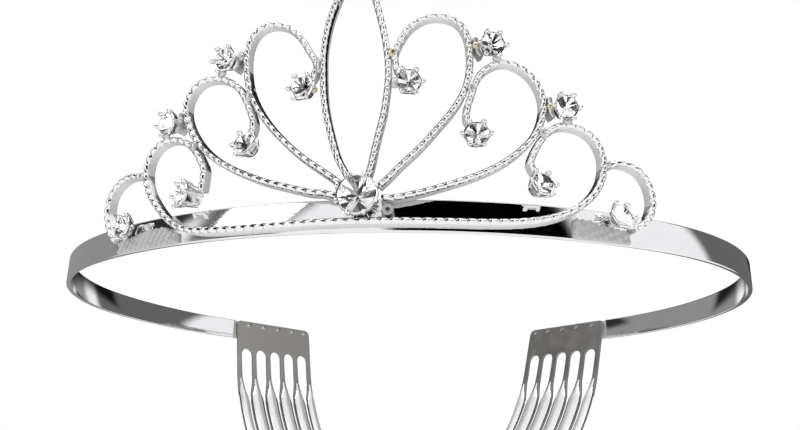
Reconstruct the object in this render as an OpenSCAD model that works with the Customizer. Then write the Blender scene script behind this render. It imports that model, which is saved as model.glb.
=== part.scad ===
// Bridal tiara: spring headband, two hair combs, soldered strip-wire filigree and claw-set stones.
// Millimetres. Front is -Y, up is +Z; the two halves differ a little, as bent and soldered by hand.

/* [Headband] */
// Width across the middle of the strip at its widest
band_w = 140; // [112:1:170]
// Depth from the front to the ends of the strip
band_depth = 125; // [102:1:150]
// Radius of the front of the band
front_r = 82; // [72:1:98]
// Half angle of the front arc
front_half_a = 35; // [30:0.5:37]
// Heading of the strip where the side arc ends
side_end_a = 98.5; // [94:0.5:104]
// Heading of the straight left end
end_a_left = 126; // [122:1:140]
// Heading of the straight right end
end_a_right = 136; // [122:1:140]
// Twist of the left end that turns its comb towards the head
twist_left = 9; // [0:1:20]
// Twist of the right end that turns its comb towards the head
twist_right = 15; // [0:1:20]
// Length of each straight end
end_l = 30; // [29.5:0.5:36]
// Height of the strip
band_h = 5; // [3.5:0.1:7]
// Thickness of the strip
band_t = 0.8; // [0.6:0.05:1.2]
// Backward pitch of the band as it is worn
wear_pitch = 20; // [0:1:35]

/* [Combs] */
// Teeth on each comb
teeth = 6; // [4:1:6]
// Distance from tooth to tooth
tooth_pitch = 4.95; // [4.2:0.05:5]
// Width of the round top of each slot
slot_w = 3.7; // [3:0.05:3.8]
// Gap between the teeth below the slots
tooth_gap = 0.9; // [0.5:0.05:1.2]
// Sheet thickness of the comb
comb_t = 0.6; // [0.5:0.05:0.9]
// Overall height of the comb
comb_h = 42; // [36:0.5:48]
// Height of the plate above the slots
plate_h = 7.9; // [6:0.1:9]
// Length of the tapered slot
slot_l = 15; // [10:0.5:16]
// Radius of the curve of the teeth towards the head
tooth_bend_r = 48; // [40:1:90]

/* [Filigree] */
// Width of the ornament along the band, between the end loops
crown_w = 96; // [80:1:108]
// Height of the ornament above the lower edge of the band
crown_h = 47; // [40:1:56]
// Thickness of the strip wire, seen from the front
wire_t = 1.0; // [0.8:0.05:1.2]
// Depth of the strip wire, front to back
wire_d = 2.0; // [1.6:0.05:2.6]
// Height of the foot tabs on the band
foot_h = 3.2; // [2.4:0.1:3.6]
// Length of the left foot tab along the band
foot_l_left = 14; // [8:0.5:16]
// Length of the right foot tab along the band
foot_l_right = 9.5; // [8:0.5:16]

/* [Stones] */
// Diameter of the small stones
stone_d = 3.2; // [2.5:0.05:3.6]
// Diameter of the centre stone
centre_d = 5.5; // [4.6:0.1:6.6]
// Wall of the setting cups
cup_wall = 0.32; // [0.25:0.01:0.45]
// Thickness of the claws
claw_d = 0.5; // [0.4:0.02:0.6]
// Claws on a small setting
claws = 6; // [4:1:8]

/* [Fits] */
// Play between a stone and its cup
stone_play = 0.04; // [0.02:0.01:0.08]
// Solder gap between pieces that are joined
solder = 0.03; // [0.02:0.01:0.08]

/* [Hidden] */

// Plan of the band: three tangent arcs and a straight end on each side; lists hold right, left.
r1 = front_r;
a1 = front_half_a;
a2 = side_end_a;
a3 = [end_a_right, end_a_left];
twist = [twist_right, twist_left];
r2 = (band_w / 2 - r1 * sin(a1)) / (1 - sin(a1));
c1 = [0, r1];
c2 = c1 + (r1 - r2) * [sin(a1), -cos(a1)];
y2 = c2[1] - r2 * cos(a2);
r3 = [for (a = a3) (band_depth - y2 - end_l * sin(a)) / (cos(a2) - cos(a))];
c3 = [for (r = r3) c2 + (r2 - r) * [sin(a2), -cos(a2)]];
p3 = [for (i = [0, 1]) c3[i] + r3[i] * [sin(a3[i]), -cos(a3[i])]];
l1 = r1 * a1 * PI / 180;
l2 = l1 + r2 * (a2 - a1) * PI / 180;
seat_y = band_depth / 2;

// Comb and the cranked band end behind it.
comb_w = (teeth - 1) * tooth_pitch + tooth_pitch - slot_w;
comb_u = end_l - 0.5 - comb_w;
crank_l = 1.6;
crank = comb_t + solder;
tooth_w = tooth_pitch - tooth_gap;
crimps = 4;

// Filigree grid: the points below are millimetres along the band and up from its lower edge.
fx = crown_w / 96;
fy = crown_h / 47;
function grid(p) = [for (q = p) [q[0] * fx, q[1] * fy]];
ring_gap = 0.95;
back_o = band_t / 2 + solder;
front_o = back_o + wire_d;

// Cup sizes
cup_r = stone_d / 2 + stone_play + cup_wall;
centre_r = centre_d / 2 + stone_play + cup_wall;
touch = wire_t / 2 + cup_r + solder;
rim_o = front_o + 0.9;

// Lowest line of the rail and the centre stone above it, a little right of the middle
rail_h = wire_t / 2 + 0.75;
centre_x = 1.4 * fx;
centre_c = [centre_x, rail_h + wire_t / 2 + centre_r + solder];

// Lists with two entries hold the right-hand side and the left-hand side, the left one mirrored
hand = [1, -1];
function spoke(i, a, d = 0) = [hand[i] * centre_x, centre_c[1]]
    + (centre_r + solder + 0.15 + d) * [cos(a), sin(a)];
// End of a wire that runs from p onto the cup centred at c
function meet(c, p) = c + (cup_r + solder) * (p - c) / norm(p - c);
function ending(p, c) = concat(p, [meet(c, p[len(p) - 1])]);

// Stones at the wire ends
upper_c = grid([[8.4, 22.9], [7.7, 22.7]]);
middle_c = grid([[18.2, 14.6], [16.2, 14.2]]);
lower_c = grid([[27.8, 7.5], [27.1, 7.4]]);
end_c = [[40.2 * fx, rail_h + 2.6], [39.5 * fx, rail_h + 2.6]];
top_c = [0, 39.8 * fy];

// Wire routes
petal_p = [concat([spoke(0, 68), spoke(0, 70, 1.6)],
    grid([[3.5, 12], [4.1, 15], [4.8, 18.6], [5.25, 23.5], [5.1, 27.5], [4.5, 31.4], [3.7, 35],
    [2.7, 38.8], [1.6, 42.6]])),
    concat([spoke(1, 62), spoke(1, 62, 1.6)],
    grid([[2, 11.4], [3.2, 15.4], [4.3, 20.4], [4.8, 26.8], [4.7, 30.6], [4.1, 34.5], [2.9, 38.6],
    [1.6, 42.6]]))];
petal_top = [0, crown_h - wire_t / 2];
// The tail of each upper curl lies against the petal
tail_gap = wire_t + solder;
upper_p = [ending(concat([spoke(0, 28), spoke(0, 34, 1.8)],
    grid([[7.3, 9.6], [10.1, 12.5], [13, 16.1], [15.1, 19], [16.6, 22], [17.4, 25.2], [17.5, 28.6],
    [17, 31.6], [15.6, 33.8], [13.2, 34.7], [10.6, 34.3], [8.4, 32.7], [7, 30.4]]),
    [[5.15 * fx + tail_gap, 28 * fy]], grid([[6.5, 25.6]])), upper_c[0]),
    ending(concat([spoke(1, 36), spoke(1, 38, 1.8)],
    grid([[7.4, 11.6], [11.3, 15.4], [14, 18.7], [15.9, 21.8], [17.1, 24.8], [17.7, 28.2], [17.7, 31],
    [17, 33.2], [15.6, 34.6], [13.5, 35], [11, 34.2], [8.9, 32.2], [7.3, 29.6]]),
    [[4.85 * fx + tail_gap, 26.9 * fy]], grid([[6.2, 25]])), upper_c[1])];
middle_p = [ending(concat([spoke(0, -4), spoke(0, -2, 2)],
    grid([[10.2, 5.5], [13.7, 6.6], [17, 7.8], [20.2, 9.3], [23.1, 11.2], [25.4, 13.3], [27.3, 15.7],
    [28.4, 18.3], [28.7, 20.9], [28.1, 23.4], [26.7, 25.5], [24.8, 26.8], [22.7, 27.2], [20.8, 26.5],
    [19.1, 25], [18.25, 23.2], [17.7, 21.4], [17.1, 19.4], [16.9, 17.6]])), middle_c[0]),
    ending(concat([spoke(1, 3), spoke(1, 8, 2)],
    grid([[5.9, 5.9], [9.4, 6.9], [13.1, 8.1], [16.9, 9.8], [20.2, 11.6], [23, 13.6], [25.3, 15.8],
    [27.2, 18.3], [28.5, 20.9], [28.8, 23.4], [27.9, 25.6], [26, 26.9], [23.4, 27], [20.9, 26.1],
    [18.8, 24.4], [17.4, 22.3], [16.4, 20.1], [15.7, 18]])), middle_c[1])];
lower_p = [ending(concat([[centre_x + solder / 2, rail_h], [8, rail_h], [15, rail_h]],
    grid([[20, 1.35], [24.3, 1.65], [28, 2.3], [31, 3.3], [33.8, 4.8], [35.9, 6.6], [37.4, 8.8], [38.1, 11],
    [38.1, 13.4], [37.1, 15.7], [35.3, 17.1], [33.1, 17.6], [30.9, 17.3], [29.15, 16.05], [27.9, 14.4],
    [27, 12.7], [26.4, 10.9]])), lower_c[0]),
    concat([[solder / 2 - centre_x, rail_h], [4, rail_h - 0.05], [11, rail_h - 0.2],
    [18, rail_h - 0.2]], grid([[23, 1.3], [25.8, 1.75], [28.6, 2.8], [31.2, 4.7], [33.4, 7], [35.1, 9.2],
    [36.1, 11.5], [36.3, 13.9], [35.5, 15.9], [33.7, 17.3], [31, 17.6], [28.2, 16.6], [26, 14.7],
    [24.7, 12.8], [23.9, 11]]), [[lower_c[1][0] - cup_r - wire_t / 2 - 0.58, lower_c[1][1] + 0.4]])];
loop_p = [concat([[38.2 * fx + tail_gap, 12 * fy]],
    grid([[40.6, 12.6], [42.6, 12.6], [44.6, 11.9], [46.1, 10.2], [46.7, 8.1], [46.5, 5.9], [45.2, 3.8]]),
    [[42.6 * fx, rail_h + 0.9]]), concat([[36.25 * fx + tail_gap, 12.3 * fy]],
    grid([[39.8, 12.9], [42.5, 12.6], [44.7, 11.4], [45.8, 9.5], [45.8, 7.2], [45, 5], [44, 3.4]]),
    [[42.6 * fx, rail_h + 0.9]])];

// Crest stones stand on the middle and lower curls; a link ties each one to the next curl
function stand(p, a) = [p[0] * fx, p[1] * fy] + (touch + 0.4) * [-sin(a), cos(a)];
inner_c = [stand([22, 27.1], 25), stand([22.3, 26.85], 20)];
outer_c = [stand([32.9, 17.6], 20), stand([32.75, 17.55], 20)];
link_t = wire_t * 0.7;
link_r = cup_r + link_t / 2 + solder;
link_off = (wire_t + link_t) / 2 + 0.1;
function beside(c, a) = c + link_r * [cos(a), sin(a)];
link_in = [for (i = [0, 1]) [[[17.3, 17.75][i] * fx + link_off, beside(inner_c[i], 150)[1]],
    beside(inner_c[i], 174), beside(inner_c[i], 208), beside(inner_c[i], 228) + [0, -0.1]]];
link_out = [for (i = [0, 1]) [[28.65 * fx + link_off, beside(outer_c[i], 140)[1]],
    beside(outer_c[i], 168), beside(outer_c[i], 200), beside(outer_c[i], 222) + [0, -0.1]]];

// Turn of each stone about the upright and about the strip, in degrees
turn = [["upper_left", -6, 4], ["upper_right", 10, 2], ["middle_left", 4, -8],
    ["middle_right", -8, -4], ["lower_left", -20, 0], ["lower_right", 12, -12],
    ["crest_inner_left", 0, 10], ["crest_inner_right", 4, 8], ["crest_outer_left", -6, 8],
    ["crest_outer_right", -4, 6], ["end_left", -4, -6], ["end_right", 6, -10], ["top", 0, 4],
    ["centre", 0, -3]];

$fn = 64;

// Position on the band: s along it, h up from the lower edge, o outwards from the middle of the strip
function heading(s) = s < l1 ? s / r1 * 180 / PI : a1 + (s - l1) / r2 * 180 / PI;
function on_band(s, h, o) = let (a = abs(s), t = heading(a), c = a < l1 ? c1 : c2,
    r = (a < l1 ? r1 : r2) + o)
    [(s < 0 ? -1 : 1) * (c[0] + r * sin(t)), c[1] - r * cos(t), h];

// Smooth route through hand-set points
function curve(a, b, c, d, t) = 0.5 * (2 * b + (c - a) * t + (2 * a - 5 * b + 4 * c - d) * t * t
    + (3 * b - a - 3 * c + d) * t * t * t);
function route(p) = let (n = len(p)) [for (i = [0 : n - 2]) let (a = i == 0 ? 2 * p[0] - p[1] : p[i - 1],
    d = i == n - 2 ? 2 * p[n - 1] - p[n - 2] : p[i + 2], m = max(1, ceil(norm(p[i + 1] - p[i]) / ring_gap)))
    for (k = [0 : m - 1]) curve(a, p[i], p[i + 1], d, k / m), p[n - 1]];

// Strip wire swept along a route laid on the band's curve
module strip(p, t = wire_t, o0 = back_o, o1 = front_o) {
    q = route(p);
    n = len(q);
    e = t * 0.22;
    sec = [[-t / 2, o0], [t / 2, o0], [t / 2, o1 - e], [t / 2 - e, o1], [-t / 2 + e, o1], [-t / 2, o1 - e]];
    m = len(sec);
    pts = [for (i = [0 : n - 1])
        let (v = q[min(n - 1, i + 1)] - q[max(0, i - 1)], g = [-v[1], v[0]] / norm(v))
        for (c = sec) on_band(q[i][0] + c[0] * g[0], q[i][1] + c[0] * g[1], c[1])];
    polyhedron(pts, concat([[for (j = [0 : m - 1]) j]], [for (i = [0 : n - 2], j = [0 : m - 1])
        [i * m + j, i * m + m + j, i * m + m + (j + 1) % m, i * m + (j + 1) % m]],
        [[for (j = [0 : m - 1]) n * m - 1 - j]]));
}

module worn() rotate([-wear_pitch, 0, 0]) translate([0, -seat_y, 0]) children();
module left() mirror([1, 0, 0]) children();
module facing(c, o, side = 1) let (t = heading(abs(c[0])), p = on_band(c[0], c[1], o))
    translate([side * p[0], p[1], p[2]]) rotate([0, 0, side * t]) rotate([90, 0, 0]) children();

// Band: the outline of the strip as points offset by o from its middle line, for one side
crank_u = comb_u - solder - crank_l;
step_u = comb_u - solder - 0.5;
function out(a) = [sin(a), -cos(a)];
function along(c, r, from, to, o) = let (n = ceil((to - from) / 2))
    [for (k = [0 : n - 1]) c + (r + o) * out(from + (to - from) * k / n)];
function side(i, o) = concat(along(c1, r1, 0, a1, o), along(c2, r2, a1, a2, o),
    along(c3[i], r3[i], a2, a3[i], o),
    [for (q = [[0, 0], [crank_u, 0], [step_u, crank], [step_u + 0.5, crank]])
        p3[i] + q[0] * [cos(a3[i]), sin(a3[i])] + (q[1] + o) * out(a3[i])]);
function flip(p) = [for (j = [len(p) - 1 : -1 : 0]) p[j]];
function mirrored(p) = [for (j = [1 : len(p) - 1]) [-p[j][0], p[j][1]]];
module end_frame(i) translate([p3[i][0], p3[i][1], 0]) rotate([0, 0, a3[i]]) children();
module turned_end(i) translate([0, -crank, band_h / 2]) rotate([twist[i], 0, 0]) children();
// The end steps outwards before the comb; the part behind the comb is twisted with it
module headband() color("silver") worn() {
    t = band_t / 2;
    linear_extrude(band_h) polygon(concat(flip(mirrored(side(1, t))), side(0, t), flip(side(0, -t)),
        mirrored(side(1, -t))));
    for (i = [0, 1]) mirror([i, 0, 0]) end_frame(i) turned_end(i)
        translate([step_u, -t, -band_h / 2]) cube([end_l - 1.5 - step_u, band_t, band_h]);
}

// Combs: front outline cut by a side profile that curves towards the head
slot_r = slot_w / 2;
slot_top = band_h - plate_h;
tooth_z = band_h - comb_h + tooth_w / 2;
function tooth_x(i) = i * tooth_pitch + (tooth_pitch - slot_w) / 2;
module slot() {
    g = tooth_gap / 2;
    x = slot_r * 0.96;
    y = slot_top - slot_r;
    z = slot_top - slot_l * 0.56;
    translate([0, y]) circle(slot_r);
    polygon([[-slot_r, y], [-x, z], [-g, slot_top - slot_l], [-g, tooth_z - tooth_w],
        [g, tooth_z - tooth_w], [g, slot_top - slot_l], [x, z], [slot_r, y]]);
}
// Edges of tooth i; the outer edges of the comb run almost straight down
swell = 0.15;
function low_x(i) = i == 0 ? -swell : tooth_x(i - 0.5) + tooth_gap / 2;
function high_x(i) = i == teeth - 1 ? comb_w + swell : tooth_x(i + 0.5) - tooth_gap / 2;
module comb_outline() {
    difference() {
        polygon([[0.8, band_h], [comb_w - 1.6, band_h], [comb_w - 0.5, band_h - 0.45],
            [comb_w, band_h - 1.5], [comb_w, slot_top - slot_l * 0.4],
            [comb_w + swell, slot_top - slot_l], [comb_w + swell, tooth_z], [-swell, tooth_z],
            [-swell, slot_top - slot_l], [0, slot_top - slot_l * 0.4], [0, band_h - 0.8]]);
        for (i = [1 : teeth - 1]) translate([tooth_x(i - 0.5), 0]) slot();
    }
    for (i = [0 : teeth - 1]) translate([(low_x(i) + high_x(i)) / 2, tooth_z])
        circle((high_x(i) - low_x(i)) / 2);
}
module comb_profile() {
    z0 = slot_top - slot_l * 0.35;
    translate([0, z0]) square([comb_t, band_h - z0]);
    difference() {
        translate([tooth_bend_r, z0]) circle(tooth_bend_r, $fn = 256);
        translate([tooth_bend_r, z0]) circle(tooth_bend_r - comb_t, $fn = 256);
        translate([-1, z0]) square([3 * tooth_bend_r, 2 * tooth_bend_r]);
        translate([tooth_bend_r, z0 - 2 * tooth_bend_r]) square(3 * tooth_bend_r);
    }
}
module comb(i) end_frame(i) turned_end(i)
    translate([comb_u, crank + band_t / 2 - comb_t, -band_h / 2]) {
    intersection() {
        translate([0, tooth_bend_r, 0]) rotate([90, 0, 0]) linear_extrude(2 * tooth_bend_r) comb_outline();
        translate([-5, 0, 0]) rotate([90, 0, 90]) linear_extrude(comb_w + 10) comb_profile();
    }
    // Staked points along the top edge that grip the band
    for (i = [1 : crimps]) translate([comb_w * (i - 0.35) / crimps, comb_t, band_h - 1])
        rotate([90, 0, 0]) cylinder(h = comb_t / 2, r1 = 0.35, r2 = 0.2, $fn = 24);
}
module comb_left() color("darkgray") worn() left() comb(1);
module comb_right() color("darkgray") worn() comb(0);

// Filigree
module centre_petal() color("gainsboro") worn() strip(concat([for (p = petal_p[1]) [-p[0], p[1]]],
    [petal_top], [for (i = [len(petal_p[0]) - 1 : -1 : 0]) petal_p[0][i]]));
module upper_curl_left() color("gainsboro") worn() left() strip(upper_p[1]);
module upper_curl_right() color("gainsboro") worn() strip(upper_p[0]);
module middle_curl_left() color("gainsboro") worn() left() strip(middle_p[1]);
module middle_curl_right() color("gainsboro") worn() strip(middle_p[0]);
module lower_curl_left() color("gainsboro") worn() left() strip(lower_p[1]);
module lower_curl_right() color("gainsboro") worn() strip(lower_p[0]);
module end_loop_left() color("gainsboro") worn() left() strip(loop_p[1]);
module end_loop_right() color("gainsboro") worn() strip(loop_p[0]);
module inner_link_left() color("lightgray") worn() left() strip(link_in[1], link_t);
module inner_link_right() color("lightgray") worn() strip(link_in[0], link_t);
module outer_link_left() color("lightgray") worn() left() strip(link_out[1], link_t);
module outer_link_right() color("lightgray") worn() strip(link_out[0], link_t);

// Foot: the end of the loop's strip laid flat on the band, narrower where it passes under a curl
module foot(len, neck) {
    foot_s = 42.6 * fx - len;
    low = 2 * (rail_h - 0.35);
    strip([[foot_s, low / 2], [foot_s + 3, low / 2], [42.6 * fx, rail_h - 0.15]], low,
        back_o, back_o + wire_t * 0.7);
    strip([[foot_s + neck, foot_h / 2], [foot_s + neck + 1.4, foot_h / 2], [foot_s + neck + 3,
        foot_h / 2]], foot_h, back_o, back_o + wire_t);
}
module foot_left() color("lightgray") worn() left() foot(foot_l_left, 3.4);
module foot_right() color("lightgray") worn() foot(foot_l_right, 0);

// Rolled end of a strip beside the centre stone
module rolled_end() color("lightgray") worn() facing([centre_x + centre_r + 1.2, rail_h + 1.5], back_o)
    difference() {
        cylinder(h = wire_d, d = 1.7);
        translate([0, 0, 0.5]) cylinder(h = wire_d, d = 0.7);
    }

// Claw setting and the stone that it holds; z = 0 is the girdle, +z faces out
module cup(d, n, lean, claw_l, back, foot_r) {
    r = d / 2 + stone_play;
    w = r + cup_wall;
    depth = d * 0.42;
    rotate_extrude() polygon([[0, -back], [r * foot_r, -back], [w, -0.25 * depth], [w, 0], [r, 0],
        [0.12, -depth], [0, -depth]]);
    for (i = [0 : n - 1]) rotate([0, 0, (i + 0.5) * 360 / n]) translate([w - claw_d / 2, 0, -0.15 * d])
        rotate([0, lean, 0]) cylinder(h = claw_l, d1 = claw_d, d2 = claw_d / 2, $fn = 20);
}
module gem(d) {
    r = d / 2;
    rotate_extrude() polygon([[0, -d * 0.4], [r, 0], [r, d * 0.03], [r * 0.56, d * 0.19], [0, d * 0.19]]);
}
function turn_of(k) = [for (t = turn) if (t[0] == k) t][0];
module placed(k, c, side, o) let (t = turn_of(k)) worn() facing(c, o, side)
    rotate([t[2], t[1], 0]) children();
// Small cups are deep, except the ones that stand over the feet
shallow = 0.42 * stone_d + 0.35;
deep = rim_o - 0.4 - back_o - 0.12;
module setting(k, c, side, back = deep, foot_r = 0.72) color("whitesmoke")
    placed(k, c, side, rim_o - 0.4) cup(stone_d, claws, 30, 1.2, back, foot_r);
module stone(k, c, side) color("lightcyan") placed(k, c, side, rim_o - 0.4) gem(stone_d);

module centre_setting() color("whitesmoke") placed("centre", centre_c, 1, rim_o)
    cup(centre_d, 8, 6, 1.7, 0.42 * centre_d + 0.35, 0.62);
module centre_stone() color("lightcyan") placed("centre", centre_c, 1, rim_o) gem(centre_d);
module top_setting() setting("top", top_c, 1);
module top_stone() stone("top", top_c, 1);
module upper_setting_left() setting("upper_left", upper_c[1], -1);
module upper_stone_left() stone("upper_left", upper_c[1], -1);
module upper_setting_right() setting("upper_right", upper_c[0], 1);
module upper_stone_right() stone("upper_right", upper_c[0], 1);
module middle_setting_left() setting("middle_left", middle_c[1], -1);
module middle_stone_left() stone("middle_left", middle_c[1], -1);
module middle_setting_right() setting("middle_right", middle_c[0], 1);
module middle_stone_right() stone("middle_right", middle_c[0], 1);
module lower_setting_left() setting("lower_left", lower_c[1], -1, deep + 0.9, 0.95);
module lower_stone_left() stone("lower_left", lower_c[1], -1);
module lower_setting_right() setting("lower_right", lower_c[0], 1);
module lower_stone_right() stone("lower_right", lower_c[0], 1);
module inner_crest_setting_left() setting("crest_inner_left", inner_c[1], -1);
module inner_crest_stone_left() stone("crest_inner_left", inner_c[1], -1);
module inner_crest_setting_right() setting("crest_inner_right", inner_c[0], 1);
module inner_crest_stone_right() stone("crest_inner_right", inner_c[0], 1);
module outer_crest_setting_left() setting("crest_outer_left", outer_c[1], -1);
module outer_crest_stone_left() stone("crest_outer_left", outer_c[1], -1);
module outer_crest_setting_right() setting("crest_outer_right", outer_c[0], 1);
module outer_crest_stone_right() stone("crest_outer_right", outer_c[0], 1);
module end_setting_left() setting("end_left", end_c[1], -1, shallow, 0.62);
module end_stone_left() stone("end_left", end_c[1], -1);
module end_setting_right() setting("end_right", end_c[0], 1, shallow, 0.62);
module end_stone_right() stone("end_right", end_c[0], 1);

headband();
comb_left();
comb_right();
centre_petal();
upper_curl_left();
upper_curl_right();
middle_curl_left();
middle_curl_right();
lower_curl_left();
lower_curl_right();
end_loop_left();
end_loop_right();
inner_link_left();
inner_link_right();
outer_link_left();
outer_link_right();
foot_left();
foot_right();
rolled_end();
centre_setting();
centre_stone();
top_setting();
top_stone();
upper_setting_left();
upper_stone_left();
upper_setting_right();
upper_stone_right();
middle_setting_left();
middle_stone_left();
middle_setting_right();
middle_stone_right();
lower_setting_left();
lower_stone_left();
lower_setting_right();
lower_stone_right();
inner_crest_setting_left();
inner_crest_stone_left();
inner_crest_setting_right();
inner_crest_stone_right();
outer_crest_setting_left();
outer_crest_stone_left();
outer_crest_setting_right();
outer_crest_stone_right();
end_setting_left();
end_stone_left();
end_setting_right();
end_stone_right();
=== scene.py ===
"""Bridal tiara: the looks of its band, combs, strip-wire curls, claw cups and cut stones."""

import bmesh
import bpy
import numpy as np
from mathutils import Matrix, Vector


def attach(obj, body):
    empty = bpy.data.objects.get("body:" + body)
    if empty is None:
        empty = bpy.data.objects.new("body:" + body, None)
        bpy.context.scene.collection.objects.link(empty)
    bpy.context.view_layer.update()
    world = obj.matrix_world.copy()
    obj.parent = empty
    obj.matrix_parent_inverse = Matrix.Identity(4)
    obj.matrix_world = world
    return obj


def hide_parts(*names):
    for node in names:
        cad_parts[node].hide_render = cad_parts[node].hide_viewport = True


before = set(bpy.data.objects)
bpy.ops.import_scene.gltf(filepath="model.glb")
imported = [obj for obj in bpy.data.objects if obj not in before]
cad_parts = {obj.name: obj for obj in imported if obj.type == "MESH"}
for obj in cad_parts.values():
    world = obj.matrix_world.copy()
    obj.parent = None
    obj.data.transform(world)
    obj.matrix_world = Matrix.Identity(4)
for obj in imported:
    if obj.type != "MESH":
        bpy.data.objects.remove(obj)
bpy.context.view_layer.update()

# ---------------------------------------------------------------- sizes, in millimetres
MM = 0.001
BAND_W, BAND_DEPTH, BAND_H, BAND_T = 140.0, 125.0, 5.0, 0.8
FRONT_R, END_L = 82.0, 30.0
A1, A2 = np.radians([35.0, 98.5])
# Heading and twist of the straight end, for the right-hand side and the left-hand side
A3 = dict(zip((1, -1), np.radians([136.0, 126.0])))
TWIST = dict(zip((1, -1), np.radians([15.0, 9.0])))
WEAR_PITCH = np.radians(20.0)
WIRE_T, WIRE_D, SOLDER = 1.0, 2.0, 0.03
CROWN_H = 47.0
STONE_D, CENTRE_D, CUP_WALL, STONE_PLAY = 3.2, 5.5, 0.32, 0.04
TEETH, TOOTH_PITCH, SLOT_W, TOOTH_GAP = 6, 4.95, 3.7, 0.9
COMB_T, COMB_H, PLATE_H, SLOT_L, TOOTH_BEND_R = 0.6, 42.0, 7.9, 15.0, 48.0
FOOT_L_LEFT, FOOT_L_RIGHT, FOOT_END = 14.0, 9.5, 42.6
BEAD_PITCH, BEAD_GROOVE, BEAD_SLANT, PIT_DEPTH, PIT_AT = 1.55, 0.42, 0.45, 0.28, 0.12

BACK_O = BAND_T / 2 + SOLDER
FRONT_O = BACK_O + WIRE_D
CUP_R = STONE_D / 2 + STONE_PLAY + CUP_WALL
CENTRE_R = CENTRE_D / 2 + STONE_PLAY + CUP_WALL
TOUCH = WIRE_T / 2 + CUP_R + SOLDER
RIM_O = FRONT_O + 0.9
RAIL_H = WIRE_T / 2 + 0.75
CENTRE_X = 1.4
CENTRE_C = np.array([CENTRE_X, RAIL_H + WIRE_T / 2 + CENTRE_R + SOLDER])


# ---------------------------------------------------------------- plan of the band
def outward(a):
    """Unit vector (sin a, -cos a) that points out of the band at heading a."""
    return np.stack([np.sin(a), -np.cos(a)], -1)


R1 = FRONT_R
R2 = (BAND_W / 2 - R1 * np.sin(A1)) / (1 - np.sin(A1))
C1 = np.array([0.0, R1])
C2 = C1 + (R1 - R2) * outward(A1)
L1 = R1 * A1
L2 = L1 + R2 * (A2 - A1)
R3, C3, P3, L3 = {}, {}, {}, {}
for side, a3 in A3.items():
    rise = BAND_DEPTH - C2[1] + R2 * np.cos(A2) - END_L * np.sin(a3)
    R3[side] = rise / (np.cos(A2) - np.cos(a3))
    C3[side] = C2 + (R2 - R3[side]) * outward(A2)
    P3[side] = C3[side] + R3[side] * outward(a3)
    L3[side] = L2 + R3[side] * (a3 - A2)


def heading(s, side=1):
    """Outward heading at distance s along the band: arc length over radius, one arc after another."""
    s = np.abs(s)
    late = np.minimum(A3[side], A2 + (s - L2) / R3[side])
    return np.where(s < L1, s / R1, np.where(s < L2, A1 + (s - L1) / R2, late))


def on_band(s, h, o, side=1):
    """Point at s along the band, h above its lower edge and o outside the middle of the strip."""
    s, h, o = np.broadcast_arrays(np.asarray(s, float), h, o)
    t = heading(s, side)
    arc = (np.abs(s) >= L1).astype(int) + (np.abs(s) >= L2)
    centre = np.stack([C1, C2, C3[side]])[arc]
    r = np.array([R1, R2, R3[side]])[arc] + o
    x = np.where(s < 0, -1, 1) * (centre[..., 0] + r * np.sin(t))
    return np.stack([x, centre[..., 1] - r * np.cos(t), h], -1)


def worn(p):
    """Band points in millimetres, moved to the head and pitched back, in metres."""
    y, z = p[..., 1] - BAND_DEPTH / 2, p[..., 2]
    c, s = np.cos(WEAR_PITCH), np.sin(WEAR_PITCH)
    return np.stack([p[..., 0], y * c + z * s, z * c - y * s], -1) * MM


# ---------------------------------------------------------------- mesh helpers
def grid_faces(rows, cols, closed_cols=False, start=0):
    """Quads between neighbouring rows and columns of a rows by cols grid of points."""
    r = np.arange(rows - 1)[:, None]
    c = np.arange(cols if closed_cols else cols - 1)[None, :]
    d = (c + 1) % cols
    quads = np.stack([r * cols + c, r * cols + d, (r + 1) * cols + d, (r + 1) * cols + c], -1)
    return (quads.reshape(-1, 4) + start).tolist()


def piece(name, points, faces, materials, face_slots=None, smooth=True, crease=None, weld=False):
    """A mesh piece at the origin, with its faces turned outwards when it is a closed shell."""
    me = bpy.data.meshes.new(name)
    me.from_pydata(np.asarray(points, float).reshape(-1, 3), [], faces)
    for m in materials:
        me.materials.append(m)
    if face_slots is not None:
        me.polygons.foreach_set("material_index", np.asarray(face_slots, np.int32))
    if weld:
        bm = bmesh.new()
        bm.from_mesh(me)
        bmesh.ops.remove_doubles(bm, verts=bm.verts, dist=2e-6)
        bm.to_mesh(me)
        bm.free()
    me.calc_loop_triangles()
    tri = np.zeros(len(me.loop_triangles) * 3, np.int32)
    me.loop_triangles.foreach_get("vertices", tri)
    co = np.zeros(len(me.vertices) * 3)
    me.vertices.foreach_get("co", co)
    a, b, c = np.moveaxis(co.reshape(-1, 3)[tri.reshape(-1, 3)], 1, 0)
    if np.einsum("ij,ij->i", a, np.cross(b, c)).sum() < 0:
        me.flip_normals()
    if smooth:
        me.shade_smooth()
        if crease is not None:
            me.set_sharp_from_angle(angle=np.radians(crease))
    else:
        me.shade_flat()
    ob = bpy.data.objects.new(name, me)
    bpy.context.scene.collection.objects.link(ob)
    return ob


def tube(sections):
    """Points and faces of a closed tube: an n by m grid of section points with both ends capped."""
    n, m = sections.shape[:2]
    faces = grid_faces(n, m, closed_cols=True)
    faces.append(list(range(m))[::-1])
    faces.append(list(range((n - 1) * m, n * m)))
    return sections.reshape(-1, 3), faces


def together(parts):
    """One list of points and one of faces from several (points, faces) shells."""
    points, faces, start = [], [], 0
    for p, f in parts:
        points.append(np.asarray(p).reshape(-1, 3))
        faces += [[i + start for i in face] for face in f]
        start += len(points[-1])
    return np.concatenate(points), faces


def blob(centre, axes, rings=9, around=14):
    """Closed ellipsoid: centre plus three half axes weighted by sin and cos of two angles."""
    lat = np.linspace(0.12, np.pi - 0.12, rings)[:, None, None]
    lon = np.linspace(0, 2 * np.pi, around, endpoint=False)[None, :, None]
    a, b, c = np.asarray(axes, float)
    return tube(centre + np.sin(lat) * (np.cos(lon) * a + np.sin(lon) * b) + np.cos(lat) * c)


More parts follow.
